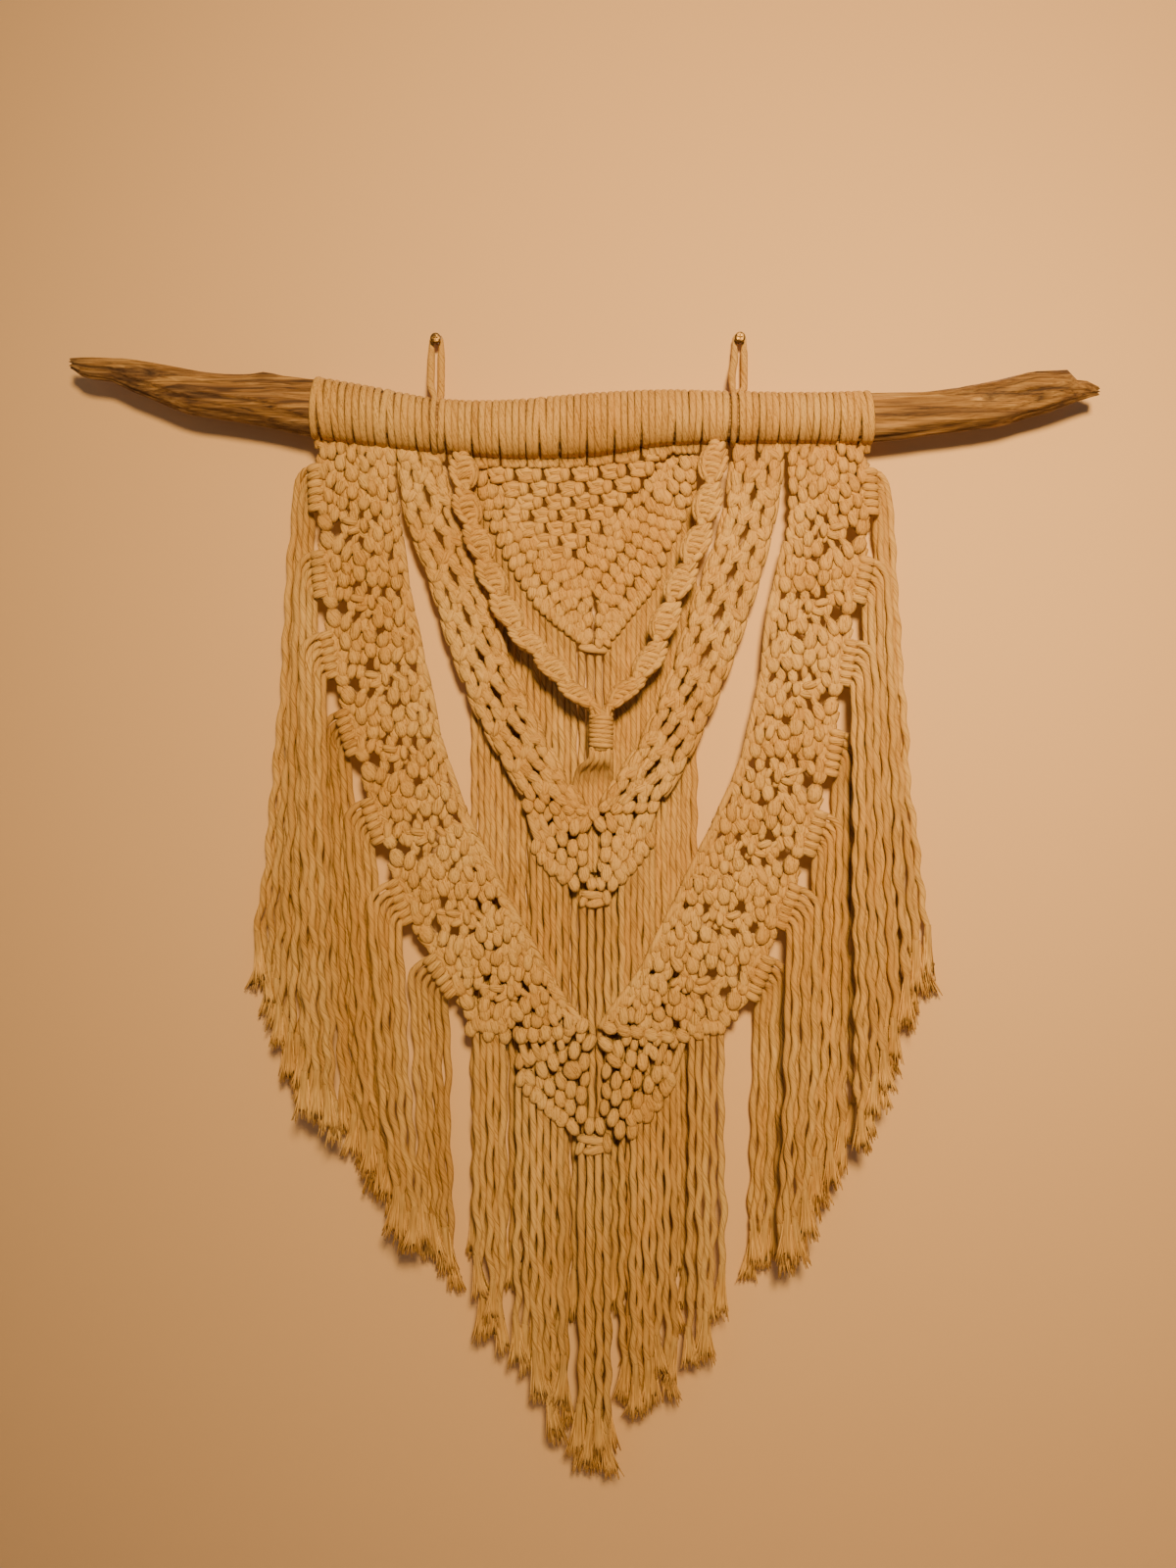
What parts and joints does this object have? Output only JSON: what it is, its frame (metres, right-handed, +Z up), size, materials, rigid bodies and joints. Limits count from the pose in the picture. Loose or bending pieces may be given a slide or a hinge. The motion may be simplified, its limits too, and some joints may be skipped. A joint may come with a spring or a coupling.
{
  "type": "macrame wall hanging on a driftwood branch",
  "caption": "Knotted cotton cord wall hanging with V-shaped bands, spiral sinnets and long fringes, hung from a driftwood branch by cord loops over wall screws.",
  "frame": {"origin": "on the wall plane, midway between the axes of the wall screws", "axes": "+X to the viewer's right along the branch, +Y into the wall, +Z up"},
  "size_m": [0.7524, 0.046, 0.849],
  "materials": {
    "cotton_cord": "natural undyed cotton, soft single-twist cord, brushed tips",
    "driftwood": "weathered bare wood",
    "screw": "aged dark brassed steel"
  },
  "bodies": {
    "root": {"centre_panel": "cotton_cord", "closing_knot_centre": "cotton_cord", "closing_knot_inner": "cotton_cord", "closing_knot_outer": "cotton_cord", "driftwood_branch": "driftwood", "fringe_centre_left": "cotton_cord", "fringe_centre_right": "cotton_cord", "fringe_hem_left": "cotton_cord", "fringe_hem_right": "cotton_cord", "fringe_inner_left": "cotton_cord", "fringe_inner_right": "cotton_cord", "fringe_left_1": "cotton_cord", "fringe_left_2": "cotton_cord", "fringe_left_3": "cotton_cord", "fringe_left_4": "cotton_cord", "fringe_left_5": "cotton_cord", "fringe_left_6": "cotton_cord", "fringe_left_7": "cotton_cord", "fringe_outer_left": "cotton_cord", "fringe_outer_right": "cotton_cord", "fringe_right_1": "cotton_cord", "fringe_right_2": "cotton_cord", "fringe_right_3": "cotton_cord", "fringe_right_4": "cotton_cord", "fringe_right_5": "cotton_cord", "fringe_right_6": "cotton_cord", "fringe_right_7": "cotton_cord", "gathering_knot": "cotton_cord", "hanging_loop_left": "cotton_cord", "hanging_loop_right": "cotton_cord", "heading_centre": "cotton_cord", "heading_left": "cotton_cord", "heading_right": "cotton_cord", "inner_band_left": "cotton_cord", "inner_band_right": "cotton_cord", "inner_point_left": "cotton_cord", "inner_point_right": "cotton_cord", "outer_band_left": "cotton_cord", "outer_band_right": "cotton_cord", "outer_point_left": "cotton_cord", "outer_point_right": "cotton_cord", "screw_left": "screw", "screw_right": "screw", "spiral_left": "cotton_cord", "spiral_right": "cotton_cord"}
  },
  "joints": []
}
